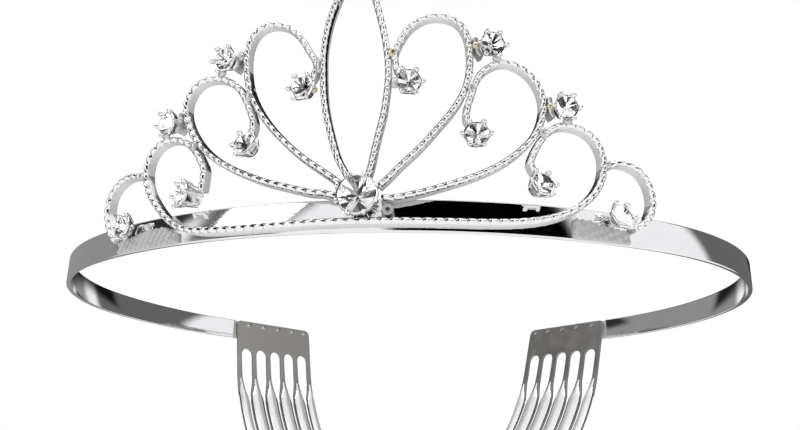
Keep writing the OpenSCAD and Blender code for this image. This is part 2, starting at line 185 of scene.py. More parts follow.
def finish_piece(ob, slot, *nodes):
    """The piece rides with the frame and stands for the nodes; the slot argument is not used."""
    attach(ob, "root")
    if nodes:
        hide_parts(*nodes)
    return ob


# ---------------------------------------------------------------- finishes
def finish(name, metal, colour, rough, spread, grain, bump, stretch=(1, 1, 1), glow=0.0):
    """Metal whose roughness wanders by noise and whose surface carries fine grain or drawn scratches."""
    m = bpy.data.materials.new(name)
    m.use_nodes = True
    nt = m.node_tree
    bsdf = nt.nodes["Principled BSDF"]
    bsdf.inputs["Metallic"].default_value = metal
    bsdf.inputs["Emission Color"].default_value = (1, 1, 1, 1)
    bsdf.inputs["Emission Strength"].default_value = glow
    place = nt.nodes.new("ShaderNodeTexCoord")
    turn = nt.nodes.new("ShaderNodeMapping")
    turn.inputs["Scale"].default_value = stretch
    nt.links.new(place.outputs["Object"], turn.inputs["Vector"])
    cloud = nt.nodes.new("ShaderNodeTexNoise")
    cloud.inputs["Scale"].default_value = 260
    cloud.inputs["Detail"].default_value = 4
    nt.links.new(place.outputs["Object"], cloud.inputs["Vector"])
    level = nt.nodes.new("ShaderNodeMapRange")
    level.inputs["From Min"].default_value = 0.3
    level.inputs["From Max"].default_value = 0.7
    level.inputs["To Min"].default_value = rough - spread
    level.inputs["To Max"].default_value = rough + spread
    nt.links.new(cloud.outputs["Fac"], level.inputs["Value"])
    nt.links.new(level.outputs["Result"], bsdf.inputs["Roughness"])
    tint = nt.nodes.new("ShaderNodeMix")
    tint.data_type = "RGBA"
    tint.inputs["A"].default_value = (*[0.9 * c for c in colour], 1)
    tint.inputs["B"].default_value = (*colour, 1)
    nt.links.new(cloud.outputs["Fac"], tint.inputs["Factor"])
    nt.links.new(tint.outputs["Result"], bsdf.inputs["Base Color"])
    fine = nt.nodes.new("ShaderNodeTexNoise")
    fine.inputs["Scale"].default_value = grain
    fine.inputs["Detail"].default_value = 3
    nt.links.new(turn.outputs["Vector"], fine.inputs["Vector"])
    relief = nt.nodes.new("ShaderNodeBump")
    relief.inputs["Strength"].default_value = bump
    relief.inputs["Distance"].default_value = 0.0001
    nt.links.new(fine.outputs["Fac"], relief.inputs["Height"])
    nt.links.new(relief.outputs["Normal"], bsdf.inputs["Normal"])
    return m


def crystal_finish(name):
    """Clear lead crystal; its fine inclusions only stir the roughness."""
    m = bpy.data.materials.new(name)
    m.use_nodes = True
    nt = m.node_tree
    bsdf = nt.nodes["Principled BSDF"]
    bsdf.inputs["Base Color"].default_value = (1, 1, 1, 1)
    bsdf.inputs["Transmission Weight"].default_value = 1
    bsdf.inputs["IOR"].default_value = 1.56
    place = nt.nodes.new("ShaderNodeTexCoord")
    haze = nt.nodes.new("ShaderNodeTexNoise")
    haze.inputs["Scale"].default_value = 900
    level = nt.nodes.new("ShaderNodeMapRange")
    level.inputs["To Max"].default_value = 0.03
    nt.links.new(place.outputs["Object"], haze.inputs["Vector"])
    nt.links.new(haze.outputs["Fac"], level.inputs["Value"])
    nt.links.new(level.outputs["Result"], bsdf.inputs["Roughness"])
    return m


BAND_SILVER = finish("band_silver_polish", 1, (0.88, 0.885, 0.9), 0.06, 0.025, 900, 0.05, (1, 1, 6))
COMB_SATIN = finish("comb_satin_plate", 1, (0.40, 0.39, 0.375), 0.4, 0.08, 1600, 0.25, (1, 1, 0.3))
# The rib colour is partly real polish and partly painted light: its diffuse white paints the reflection of
# the bright surround, and on the pressed ticks it is a painted highlight. The flank colour below is painted
# shade on the sides of the rib.
COMB_RIB = finish("comb_polished_rib_painted_highlight", 0.55, (0.95, 0.95, 0.95), 0.25, 0.05, 1600, 0.15, (1, 1, 0.3))
COMB_SHADE = finish("comb_rib_flank_painted_shade", 1, (0.09, 0.088, 0.085), 0.3, 0.08, 1600, 0.2)
STRIP_SILVER = finish("beaded_strip_silver", 1, (0.93, 0.93, 0.93), 0.19, 0.06, 2600, 0.3)
CLAW_SILVER = finish("claw_silver", 1, (0.93, 0.93, 0.93), 0.14, 0.05, 2200, 0.2)
FOOT_MATTE = finish("foot_matte_silver", 1, (0.68, 0.675, 0.665), 0.42, 0.08, 1500, 0.6)
# The next three colours are painted light and shade on the flat sides of the strips, set by the way each
# side faces; they stand in for reflections. The black one also paints shade into the pits of the beads, and
# the dark one into the groove round the claw cups.
STRIP_SIDE_PAINTED_LIGHT = finish("strip_side_painted_light", 0.2, (0.78, 0.78, 0.775), 0.45, 0.06, 2600, 0.2)
DARK_PAINTED_SHADE = finish("painted_dark_reflection_and_shade", 0.8, (0.13, 0.13, 0.132), 0.3, 0.06, 2600, 0.2)
BLACK_PAINTED_SHADE = finish("painted_black_reflection_and_shade", 0.8, (0.022, 0.022, 0.024), 0.26, 0.05, 2600, 0.2)
STRAP_MATTE = finish("strap_matte_silver", 0.25, (0.6, 0.6, 0.595), 0.45, 0.08, 1300, 1.0)
# Painted highlight: a brighter, partly diffuse finish for the crank faces of the band.
CRANK_PAINTED_HIGHLIGHT = finish("band_crank_painted_highlight", 0.7, (0.9, 0.9, 0.9), 0.45, 0.05, 1500, 0.2)
SOLDER_GOLD = finish("solder_tin", 1, (0.66, 0.60, 0.48), 0.3, 0.08, 1800, 0.6)
# Stone facets below the table: foil with a painted glow standing in for light through the crystal, and
# painted dark and smoky reflections given facet by facet.
FOIL_PAINTED_GLOW = finish("stone_foil_painted_glow", 0.8, (0.95, 0.945, 0.94), 0.04, 0.01, 800, 0.0, glow=0.5)
FACET_PAINTED_DARK = finish("stone_facet_painted_dark_reflection", 1, (0.035, 0.037, 0.045), 0.06, 0.02, 800, 0.0)
FACET_PAINTED_SMOKE = finish("stone_facet_painted_smoky_reflection", 1, (0.3, 0.285, 0.28), 0.06, 0.02, 800, 0.0, glow=0.1)
CRYSTAL = crystal_finish("cut_crystal")


# ---------------------------------------------------------------- band and combs
COMB_W = (TEETH - 1) * TOOTH_PITCH + TOOTH_PITCH - SLOT_W
COMB_U = END_L - 0.5 - COMB_W
CRANK, CRANK_L = COMB_T + SOLDER, 1.6
STRIP_CORNER = 0.22


def smooth_step(t):
    """0 below 0, 1 above 1 and 3t^2 - 2t^3 between."""
    t = np.clip(t, 0, 1)
    return t * t * (3 - 2 * t)


def end_place(side, u, v, h):
    """Point of one straight end: u along it, v towards the head and h up, as on the right-hand side."""
    c, t = np.cos(A3[side]), np.sin(A3[side])
    along, inward = np.array([c, t]), np.array([-t, c])
    u, v, h = np.broadcast_arrays(u, v, h)
    xy = P3[side] + u[..., None] * along + v[..., None] * inward
    return np.concatenate([xy, h[..., None]], -1)


def twisted(angle, v, h):
    """Section point (v, h) turned by the angle about the middle of the cranked strip."""
    c, t = np.cos(angle), np.sin(angle)
    y, z = v + CRANK, h - BAND_H / 2
    return y * c - z * t - CRANK, y * t + z * c + BAND_H / 2


def half_band(side):
    """Rounded rectangle carried along two side arcs and the cranked, twisted end of one side."""
    r = STRIP_CORNER
    corner = np.linspace(0, np.pi / 2, 5)
    half_t, half_h = BAND_T / 2, BAND_H / 2
    offset, height = [], []
    for sx, sy, turn in ((1, 1, 0), (-1, 1, 1), (-1, -1, 2), (1, -1, 3)):
        a = corner + turn * np.pi / 2
        offset.append(sx * (half_t - r) + r * np.cos(a))
        height.append(sy * (half_h - r) + r * np.sin(a) + half_h)
    offset, height = np.concatenate(offset)[None, :], np.concatenate(height)[None, :]
    arcs = on_band(np.linspace(0, L3[side], 190)[:, None], height, offset, side)
    k = COMB_U - SOLDER - CRANK_L
    u = np.concatenate([np.linspace(0.4, k - 0.5, 8), np.linspace(k - 0.4, k + CRANK_L + 0.4, 22),
                        np.linspace(k + CRANK_L + 0.8, END_L - 1.5, 16)])[:, None]
    step = smooth_step((u - k) / CRANK_L)
    v, h = twisted(TWIST[side] * step, -CRANK * step - offset, height)
    # crank faces that take the painted highlight finish
    bright = (u[:, 0] > k + 0.1) & (u[:, 0] < k + CRANK_L - 0.1)
    return (np.concatenate([arcs, end_place(side, u + 0 * offset, v, h)]),
            np.concatenate([np.zeros(len(arcs), int), bright.astype(int)]))


(right_half, right_bright), (left_half, left_bright) = half_band(1), half_band(-1)
sections = np.concatenate([left_half[:0:-1] * [-1, 1, 1], right_half])
points, faces = tube(worn(sections))
slots = np.repeat(np.concatenate([left_bright[:0:-1], right_bright])[:-1], sections.shape[1])
finish_piece(piece("headband_strip", points, faces, [BAND_SILVER, CRANK_PAINTED_HIGHLIGHT],
                   np.concatenate([slots, [0, 0]]), crease=50), "band_silver", "headband")

SLOT_R = SLOT_W / 2
SLOT_TOP = BAND_H - PLATE_H
# Heights where the slot starts to taper and where it has become the gap between two teeth
TAPER_Z, GAP_Z = SLOT_TOP - 0.56 * SLOT_L, SLOT_TOP - SLOT_L
TOOTH_Z = BAND_H - COMB_H + (TOOTH_PITCH - TOOTH_GAP) / 2
BEND_Z = SLOT_TOP - SLOT_L * 0.35
SWELL = 0.15
RIB_TOP, RIB_RUN, RIB_RISE = SLOT_TOP - 8.2, 5.6, 0.62
PLATE_FAR, PLATE_NEAR = 1.6, 0.8
# Pressed ticks along the top of the plate: places along it, depth below the edge, rise, direction, size
TICKS = np.array([0.14, 0.34, 0.54, 0.74, 0.92]) * COMB_W
TICK_DROP, TICK_RISE, TICK_WAY, TICK_WIDE, TICK_LONG = 1.1, 0.2, (0.94, 0.35), 0.2, 0.75


def slot_half(z):
    """Half width of the slot at height z: a round top, nearly straight sides, a taper and the gap."""
    cz = SLOT_TOP - SLOT_R
    bulb = np.sqrt(np.clip(SLOT_R ** 2 - (z - cz) ** 2, 0, None))
    t = np.clip((TAPER_Z - z) / (TAPER_Z - GAP_Z), 0, 1)
    side = SLOT_R * (1 - 0.04 * np.clip((cz - z) / (cz - TAPER_Z), 0, 1))
    low = side + (TOOTH_GAP / 2 - side) * (0.5 * t + 0.5 * smooth_step(t))
    return np.where(z > SLOT_TOP, 0, np.where(z > cz, bulb, low))


def comb_sheet(side):
    """Middle surface of a comb: one grid a tooth between its two slot walls, each with a pressed rib."""
    cz = SLOT_TOP - SLOT_R
    body = np.concatenate([np.linspace(BAND_H, SLOT_TOP, 30)[:-1],
                           cz + SLOT_R * np.sin(np.linspace(np.pi / 2, 0, 13)),
                           np.linspace(cz, TAPER_Z, 16)[1:], np.linspace(TAPER_Z, GAP_Z, 24)[1:],
                           np.linspace(GAP_Z, TOOTH_Z, 46)[1:]])
    tip = np.sin(np.linspace(0, np.pi / 2, 9)[1:])
    across = np.linspace(0, 1, 29)
    slots, shells = [], []
    for i in range(TEETH):
        middle = i * TOOTH_PITCH + (TOOTH_PITCH - SLOT_W) / 2
        end_half = (TOOTH_PITCH / 2 - TOOTH_GAP / 2 + (TOOTH_PITCH - SLOT_W) / 2 + SWELL) / 2
        tip_r = end_half if i in (0, TEETH - 1) else (TOOTH_PITCH - TOOTH_GAP) / 2
        z = np.concatenate([body, TOOTH_Z - tip_r * tip])
        outer = SWELL * np.clip((SLOT_TOP - SLOT_L * 0.4 - z) / (SLOT_L * 0.6), 0, 1)
        top_far, top_near = (r - np.sqrt(r ** 2 - np.clip(z - BAND_H + r, 0, r) ** 2)
                             for r in (PLATE_FAR, PLATE_NEAR))
        low = middle - TOOTH_PITCH / 2 + slot_half(z) if i else top_near - outer
        high = middle + TOOTH_PITCH / 2 - slot_half(z) if i < TEETH - 1 else COMB_W - top_far + outer
        below = np.clip(TOOTH_Z - z, 0, None)
        round_tip = tip_r - np.sqrt(np.clip(tip_r ** 2 - below ** 2, 0, None))
        centre, half = (low + high)[:, None] / 2, (high - low)[:, None] / 2
        low, high = low + round_tip, high - round_tip
        x = low[:, None] + (high - low)[:, None] * across[None, :]
        zz = z[:, None] + 0 * x
        drop = np.clip(BEND_Z - zz, 0, None)
        lean = drop / TOOTH_BEND_R
        v = TOOTH_BEND_R * (1 - np.sqrt(1 - lean ** 2))
        # rib: it starts as a point in the neck and soon fills nearly the whole tooth
        grow = smooth_step((RIB_TOP - zz) / RIB_RUN)
        fade = smooth_step((zz - TOOTH_Z + 0.5) / 3)
        rel = (x - centre) / (half * (0.08 + 0.87 * grow))
        rib = np.clip(1 - rel ** 2, 0, None) ** 0.7 * RIB_RISE * np.sqrt(grow) * fade
        tick = 0.0
        for c in TICKS:
            p, q = x - c, zz - BAND_H + TICK_DROP
            off, far = TICK_WAY[0] * q - TICK_WAY[1] * p, TICK_WAY[0] * p + TICK_WAY[1] * q
            tick = tick + TICK_RISE * np.exp(-(off / TICK_WIDE) ** 2 - (far / TICK_LONG) ** 2)
        tick = np.where(zz > SLOT_TOP, tick, 0)
        push = rib + tick
        v = v + push * np.sqrt(1 - lean ** 2)
        h = zz + push * lean
        v, h = twisted(TWIST[side], BAND_T / 2 - COMB_T / 2 + v, h)
        p = worn(end_place(side, COMB_U + x, v, h) * [side, 1, 1])
        shells.append((p, grid_faces(len(z), len(across))))
        # finish of each quad: polished rib and tick with painted light, painted shade on the flanks, satin
        # elsewhere
        flank = (rel > 0.66) & (rel < 1.06) | (rel < -0.9) & (rel > -1.04)
        kind = np.where(flank & (grow * fade > 0.04), 2, np.where((rib > 0.05) | (tick > 0.13), 1, 0))
        slots.append(kind[:-1, :-1].ravel())
    return (*together(shells), np.concatenate(slots))


def comb_piece(side, name, node):
    """Comb sheet welded along the plate, with its thickness laid half to each face."""
    points, faces, slots = comb_sheet(side)
    if side < 0:
        faces = [f[::-1] for f in faces]
    ob = piece(name, points, faces, [COMB_SATIN, COMB_RIB, COMB_SHADE], slots, weld=True)
    thick = ob.modifiers.new("sheet", "SOLIDIFY")
    thick.thickness = COMB_T * MM
    thick.offset = 0
    thick.use_even_offset = True
    thick.use_rim = True
    finish_piece(ob, "comb_silver", node)
    return ob


comb_piece(1, "comb_right_ribbed", "comb_right")
comb_piece(-1, "comb_left_ribbed", "comb_left")


# ---------------------------------------------------------------- strip-wire routes
def spoke(i, a, d=0.0):
    """Point on the ray at a degrees from the centre stone, d outside its setting; i is 0 on the right
    and 1 on the left, where x is measured leftwards."""
    t = np.radians(a)
    return CENTRE_C * [(1, -1)[i], 1] + (CENTRE_R + SOLDER + 0.15 + d) * np.array([np.cos(t), np.sin(t)])


def ending(points, centre):
    """The points and one more, on the cup round the centre along the line from the last point."""
    p = np.array(points, float)
    away = p[-1] - centre
    return np.concatenate([p, [centre + (CUP_R + SOLDER) * away / np.linalg.norm(away)]])


# Stones at the wire ends and wire routes: the right-hand one and the left-hand one, mirrored
TAIL_GAP = WIRE_T + SOLDER
LEAN_GAP = 0.58
UPPER_C, MIDDLE_C, LOWER_C, END_C = (np.array(c) for c in (
    [[8.4, 22.9], [7.7, 22.7]], [[18.2, 14.6], [16.2, 14.2]], [[27.8, 7.5], [27.1, 7.4]],
    [[40.2, RAIL_H + 2.6], [39.5, RAIL_H + 2.6]]))
TOP_C = np.array([0, 39.8])
PETAL = [np.array([spoke(0, 68), spoke(0, 70, 1.6), [3.5, 12], [4.1, 15], [4.8, 18.6], [5.25, 23.5],
                   [5.1, 27.5], [4.5, 31.4], [3.7, 35], [2.7, 38.8], [1.6, 42.6]]),
         np.array([spoke(1, 62), spoke(1, 62, 1.6), [2, 11.4], [3.2, 15.4], [4.3, 20.4], [4.8, 26.8],
                   [4.7, 30.6], [4.1, 34.5], [2.9, 38.6], [1.6, 42.6]])]
PETAL_ALL = np.concatenate([PETAL[1] * [-1, 1], [[0, CROWN_H - WIRE_T / 2]], PETAL[0][::-1]])
UPPER = [ending([spoke(0, 28), spoke(0, 34, 1.8), [7.3, 9.6], [10.1, 12.5], [13, 16.1], [15.1, 19],
                 [16.6, 22], [17.4, 25.2], [17.5, 28.6], [17, 31.6], [15.6, 33.8], [13.2, 34.7],
                 [10.6, 34.3], [8.4, 32.7], [7, 30.4], [5.15 + TAIL_GAP, 28], [6.5, 25.6]], UPPER_C[0]),
         ending([spoke(1, 36), spoke(1, 38, 1.8), [7.4, 11.6], [11.3, 15.4], [14, 18.7], [15.9, 21.8],
                 [17.1, 24.8], [17.7, 28.2], [17.7, 31], [17, 33.2], [15.6, 34.6], [13.5, 35],
                 [11, 34.2], [8.9, 32.2], [7.3, 29.6], [4.85 + TAIL_GAP, 26.9], [6.2, 25]], UPPER_C[1])]
MIDDLE = [ending([spoke(0, -4), spoke(0, -2, 2), [10.2, 5.5], [13.7, 6.6], [17, 7.8], [20.2, 9.3],
                  [23.1, 11.2], [25.4, 13.3], [27.3, 15.7], [28.4, 18.3], [28.7, 20.9], [28.1, 23.4],
                  [26.7, 25.5], [24.8, 26.8], [22.7, 27.2], [20.8, 26.5], [19.1, 25], [18.25, 23.2],
                  [17.7, 21.4], [17.1, 19.4], [16.9, 17.6]], MIDDLE_C[0]),
          ending([spoke(1, 3), spoke(1, 8, 2), [5.9, 5.9], [9.4, 6.9], [13.1, 8.1], [16.9, 9.8],
                  [20.2, 11.6], [23, 13.6], [25.3, 15.8], [27.2, 18.3], [28.5, 20.9], [28.8, 23.4],
                  [27.9, 25.6], [26, 26.9], [23.4, 27], [20.9, 26.1], [18.8, 24.4], [17.4, 22.3],
                  [16.4, 20.1], [15.7, 18]], MIDDLE_C[1])]
LOWER = [ending([[CENTRE_X + SOLDER / 2, RAIL_H], [8, RAIL_H], [15, RAIL_H], [20, 1.35], [24.3, 1.65],
                 [28, 2.3], [31, 3.3], [33.8, 4.8], [35.9, 6.6], [37.4, 8.8], [38.1, 11], [38.1, 13.4],
                 [37.1, 15.7], [35.3, 17.1], [33.1, 17.6], [30.9, 17.3], [29.15, 16.05], [27.9, 14.4],
                 [27, 12.7], [26.4, 10.9]], LOWER_C[0]),
         np.array([[SOLDER / 2 - CENTRE_X, RAIL_H], [4, RAIL_H - 0.05], [11, RAIL_H - 0.2],
                   [18, RAIL_H - 0.2], [23, 1.3], [25.8, 1.75], [28.6, 2.8], [31.2, 4.7], [33.4, 7],
                   [35.1, 9.2], [36.1, 11.5], [36.3, 13.9], [35.5, 15.9], [33.7, 17.3], [31, 17.6],
                   [28.2, 16.6], [26, 14.7], [24.7, 12.8], [23.9, 11],
                   LOWER_C[1] + [-CUP_R - WIRE_T / 2 - LEAN_GAP, 0.4]])]
LOOP = [np.array([[38.2 + TAIL_GAP, 12], [40.6, 12.6], [42.6, 12.6], [44.6, 11.9], [46.1, 10.2],
                  [46.7, 8.1], [46.5, 5.9], [45.2, 3.8], [42.6, RAIL_H + 0.9]]),
        np.array([[36.25 + TAIL_GAP, 12.3], [39.8, 12.9], [42.5, 12.6], [44.7, 11.4], [45.8, 9.5],
                  [45.8, 7.2], [45, 5], [44, 3.4], [42.6, RAIL_H + 0.9]])]


def route(p, step):
    """Catmull-Rom curve through the points p, resampled at even steps of arc length."""
    q = np.concatenate([[2 * p[0] - p[1]], p, [2 * p[-1] - p[-2]]])
    a, b, c, d = (q[i:len(q) - 3 + i, None, :] for i in range(4))
    t = np.linspace(0, 1, 24, endpoint=False)[None, :, None]
    curve = 0.5 * (2 * b + (c - a) * t + (2 * a - 5 * b + 4 * c - d) * t ** 2
                   + (3 * b - a - 3 * c + d) * t ** 3)
    curve = np.concatenate([curve.reshape(-1, 2), p[-1:]])
    run = np.concatenate([[0], np.cumsum(np.linalg.norm(np.diff(curve, axis=0), axis=1))])
    n = max(2, int(round(run[-1] / step)))
    s = np.linspace(0, run[-1], n + 1)
    return np.stack([np.interp(s, run, curve[:, k]) for k in (0, 1)], -1), s


# Section of the strip: across is -1..1 of half its thickness, depth 0 at the back and 1 at the front
SECTION = np.array([[-0.86, 0.0], [0.0, 0.0], [0.86, 0.0], [0.97, 0.03], [1.0, 0.09], [1.0, 0.4], [1.0, 0.7],
                    [0.97, 0.76], [0.86, 0.83], [0.68, 0.9], [0.42, 0.96], [0.14, 1.0], [-0.14, 1.0],
                    [-0.42, 0.96], [-0.68, 0.9], [-0.86, 0.83], [-0.97, 0.76], [-1.0, 0.7], [-1.0, 0.4],
                    [-1.0, 0.09], [-0.97, 0.03]])


# Columns of the section: the whole of each flat side with its bevel, and its front part only
SIDES = {1: (range(3, 9), range(5, 8)), -1: (range(14, 20), range(15, 18))}


def side_painted_light_and_shade(slots, n, side, leg, face):
    """Paint light and shade on the flat side whose normals in the (along, up) plane are n: painted light
    where it faces down;
    on a leg, painted dark where it faces up and inwards and painted dark along its front where it faces
    inwards only. Both are painted reflections."""
    whole, front = SIDES[face]
    along, up = n[:, 0], n[:, 1]
    dark = np.where(side > 0, 4, 5)
    steep = leg & (along < -0.5) & (up > -0.3)
    facing_up = leg & (along < 0.3) & (up > 0.35)
    light = (up < 0.15) | steep
    for c in whole:
        if c in (7, 8, 14, 15):
            slots[:, c] = np.where(facing_up, dark, slots[:, c])
        else:
            slots[:, c] = np.where(facing_up, dark, np.where(light, 3, slots[:, c]))
    for c in front:
        slots[:, c] = np.where(steep, dark, slots[:, c])


def beaded_strip(p, side=1, leg_end=1.0):
    """Strip section carried along a route; the front is cut into slanting beads by 1 - |2t - 1|^4,
    where t is the place within one bead. Gives points, faces and finish slots, among them painted light and
    painted shade."""
    q, s = route(p, BEAD_PITCH / 9)
    v = np.gradient(q, axis=0)
    v /= np.linalg.norm(v, axis=1, keepdims=True)
    g = np.stack([-v[:, 1], v[:, 0]], -1)
    x = SECTION[None, :, 0] * WIRE_T / 2 + 0 * s[:, None]
    o = BACK_O + SECTION[None, :, 1] * WIRE_D + 0 * s[:, None]
    t = np.mod((s[:, None] + BEAD_SLANT * x) / BEAD_PITCH, 1)
    groove = np.abs(2 * t - 1) ** 4
    face = smooth_step((SECTION[None, :, 1] - 0.62) / 0.3)
    o = o - BEAD_GROOVE * groove * face
    x = x * (1 - 0.1 * groove * face)
    # small pit beside each bead, drilled off the middle line
    pit = np.exp(-((t - PIT_AT) / 0.11) ** 2) * np.exp(-((x - PIT_AT) / 0.15) ** 2) * face
    o = o - PIT_DEPTH * pit
    pos = on_band(q[:, None, 0] + x * g[:, None, 0], q[:, None, 1] + x * g[:, None, 1], o)
    pos[..., 2] = q[:, None, 1] + x * g[:, None, 1]
    # The pits take the black colour: painted shade in the recesses.
    slots = np.where(pit > 0.5, 5, 0)
    flip = np.where(q[:, 0] < 0, -1, 1)
    leg = s < leg_end * s[-1]
    for face in SIDES:
        side_painted_light_and_shade(slots, face * g * np.stack([flip, flip ** 2], -1), side * flip, leg, face)
    points, faces = tube(worn(pos * [side, 1, 1]))
    return points, faces, np.concatenate([slots[:-1].ravel(), [0, 0]])


def solder_spot(s, h, size, side):
    """Flattened ellipsoid of solder on the front of the wires at s along the band and h up."""
    t = heading(s, side)
    axes = np.array([[np.cos(t), np.sin(t), 0], [0, 0, 1], [np.sin(t), -np.cos(t), 0]])
    points, faces = blob(on_band(s, h, SPOT_O), axes * np.array(size)[:, None])
    return worn(points * [side, 1, 1]), faces


# Solder spots carried by each strip: place along the band, height and half sizes
SPOT_O = FRONT_O - 0.25
SPOTS = {("upper_curl", 1): [(5.75, 28.2, (0.75, 0.9, 0.45)), (18.3, 29.6, (0.6, 0.6, 0.5)),
                             (6.3, 22.6, (0.6, 0.6, 0.4))],
         ("upper_curl", -1): [(5.3, 26.6, (0.6, 1.5, 0.45)), (6.0, 22.4, (0.7, 0.6, 0.45)),
                              (18.6, 29.8, (0.55, 0.7, 0.5))],
         ("middle_curl", 1): [(17.6, 22.4, (0.6, 1.0, 0.4)), (21.5, 27.6, (0.7, 0.5, 0.4)),
                              (29.6, 20.3, (0.55, 0.7, 0.5))],
         ("middle_curl", -1): [(16.7, 22.6, (0.6, 1.1, 0.4)), (21.9, 27.4, (0.8, 0.55, 0.4)),
                               (29.5, 20.6, (0.6, 0.6, 0.5))],
         ("lower_curl", 1): [(28.3, 15.9, (0.6, 0.9, 0.4)), (32.3, 18.2, (0.8, 0.5, 0.4))],
         ("lower_curl", -1): [(26.1, 15.5, (0.6, 1.0, 0.4)), (32.2, 18.3, (0.8, 0.5, 0.4))],
         ("end_loop", 1): [(38.75, 12.0, (0.6, 0.7, 0.4))],
         ("end_loop", -1): [(36.8, 12.2, (0.6, 0.7, 0.4))]}
# Part of each strip, from its start, that runs as a leg up to the outermost point of the curl
LEG_END = {"upper_curl": 0.46, "middle_curl": 0.46, "lower_curl": 0.36, "end_loop": 0.0}
# Finishes of a strip; slots 3 to 5 are painted light and painted shade, not finishes of the metal.
STRIP_FINISHES_AND_PAINTED_SHADE = [STRIP_SILVER, SOLDER_GOLD, FOOT_MATTE, STRIP_SIDE_PAINTED_LIGHT, DARK_PAINTED_SHADE, BLACK_PAINTED_SHADE]
GOLDEN = {("upper_curl", 1): (0, 1), ("upper_curl", -1): (1,), ("middle_curl", 1): (2,)}

for name, routes in (("upper_curl", UPPER), ("middle_curl", MIDDLE), ("lower_curl", LOWER),
                     ("end_loop", LOOP)):
    for word, side, i in (("left", -1, 1), ("right", 1, 0)):
        points, faces, slots = beaded_strip(routes[i], side=side, leg_end=LEG_END[name])
        shells, slots = [(points, faces)], slots.tolist()
        for k, spot in enumerate(SPOTS[name, side]):
            shells.append(solder_spot(*spot, side))
            slots += [1 if k in GOLDEN.get((name, side), ()) else 2] * len(shells[-1][1])
        points, faces = together(shells)
        finish_piece(piece(f"{name}_{word}_beaded", points, faces, STRIP_FINISHES_AND_PAINTED_SHADE, slots, crease=60),
                     "strip_silver", f"{name}_{word}")
points, faces, slots = beaded_strip(PETAL_ALL)
finish_piece(piece("centre_petal_beaded", points, faces, STRIP_FINISHES_AND_PAINTED_SHADE, slots, crease=60), "strip_silver",
             "centre_petal")


STRAP_LOW, STRAP_T = 0.06, 0.66


def strap(side, s0, s1, top, fold):
    """End of a strip hammered flat on the band: a thin section between its low edge and the top, its
    front rippled by sines and its free end at s0 folded into a bead of the given extra thickness."""
    s = np.concatenate([s0 + 0.5 * np.linspace(0, 1, 8) ** 2, np.linspace(s0 + 0.5, s1, 90)[1:]])[:, None]
    low, high = STRAP_LOW, np.interp(s, *top) + 0.1 * np.sin(5.3 * s) + 0.06 * np.sin(13.1 * s + 1)
    near = np.clip((s - s0) / 0.5, 0, 1)
    shrink = np.sqrt(np.clip(1 - (1 - near) ** 2, 0.02, 1))
    thick = STRAP_T + fold * np.exp(-((s - s0 - 0.55) / 0.4) ** 2)
    across = np.array([0, 0, 0.04, 0.12, 0.25, 0.38, 0.5, 0.62, 0.75, 0.88, 0.96, 1, 1])[None, :]
    depth = np.array([0, 0.7, 0.88, 0.96, 1, 1, 1, 1, 1, 0.96, 0.88, 0.7, 0])[None, :]
    h = (low + high) / 2 + (across - 0.5) * (high - low) * (0.35 + 0.65 * shrink)
    ripple = 0.09 * np.sin(5.2 * s + 3.1 * h) + 0.07 * np.sin(2.3 * s - 4.9 * h)
    o = BACK_O + depth * (thick * shrink + ripple * depth)
    return tube(worn(on_band(s, h, o) * [side, 1, 1]))


for side, word, s0, top, fold in (
        (-1, "left", FOOT_END - FOOT_L_LEFT, ([28.6, 29.6, 30.6, 31.6, 35, 38, 42.6],
                                              [1.72, 1.9, 2.4, 3.08, 3.1, 2.6, 2.1]), 0.28),
        (1, "right", FOOT_END - FOOT_L_RIGHT, ([33.1, 36.2, 37.4, 42.6], [3.1, 3.1, 2.5, 2.1]), 0.3)):
    points, faces = strap(side, s0, FOOT_END, top, fold)
    finish_piece(piece(f"foot_{word}_strap", points, faces, [STRAP_MATTE], crease=55), "strip_silver",
                 f"foot_{word}")


# ---------------------------------------------------------------- settings and stones
def stand(seat, lean):
    """Centre of a stone that stands on a curl above the seat point, leaning by the given degrees."""
    a = np.radians(lean)
    return np.array(seat) + (TOUCH + 0.4) * np.array([-np.sin(a), np.cos(a)])


INNER_C = [stand([22, 27.1], 25), stand([22.3, 26.85], 20)]
OUTER_C = [stand([32.9, 17.6], 20), stand([32.75, 17.55], 20)]
# name, centre, side, turn about the upright and turn about the strip in degrees, node words
STONES = [("upper", UPPER_C[1], -1, -6, 4, "left"), ("upper", UPPER_C[0], 1, 10, 2, "right"),
          ("middle", MIDDLE_C[1], -1, 4, -8, "left"), ("middle", MIDDLE_C[0], 1, -8, -4, "right"),
          ("lower", LOWER_C[1], -1, -20, 0, "left"), ("lower", LOWER_C[0], 1, 12, -12, "right"),
          ("inner_crest", INNER_C[1], -1, 0, 10, "left"), ("inner_crest", INNER_C[0], 1, 4, 8, "right"),
          ("outer_crest", OUTER_C[1], -1, -6, 8, "left"), ("outer_crest", OUTER_C[0], 1, -4, 6, "right"),
          ("end", END_C[1], -1, -4, -6, "left"), ("end", END_C[0], 1, 6, -10, "right"),
          ("top", TOP_C, 1, 0, 4, "")]


def turned(axis, degrees):
    """Rotation matrix about the x, y or z axis."""
    return np.array(Matrix.Rotation(np.radians(degrees), 3, axis))


def stone_place(centre, side, o, turn_y, turn_x):
    """Function that carries a stone's own points to the worn tiara: turned, stood up and seated."""
    t = np.degrees(heading(centre[0]))
    spin = turned("Z", side * t) @ turned("X", 90) @ turned("Y", turn_y) @ turned("X", turn_x)
    seat = on_band(centre[0], centre[1], o) * [side, 1, 1]
    return lambda p: worn(p @ spin.T + seat)


def revolved(profile, around=48, lobes=0, depth=0.0):
    """Closed cup: a profile of (radius, height) turned about the axis, its radius waved by cos."""
    a = np.linspace(0, 2 * np.pi, around, endpoint=False)[None, :]
    r, z = np.asarray(profile, float).T[:, :, None]
    r = r * (1 + depth * np.cos(lobes * a))
    return tube(np.stack([r * np.cos(a), r * np.sin(a), z + 0 * a], -1))


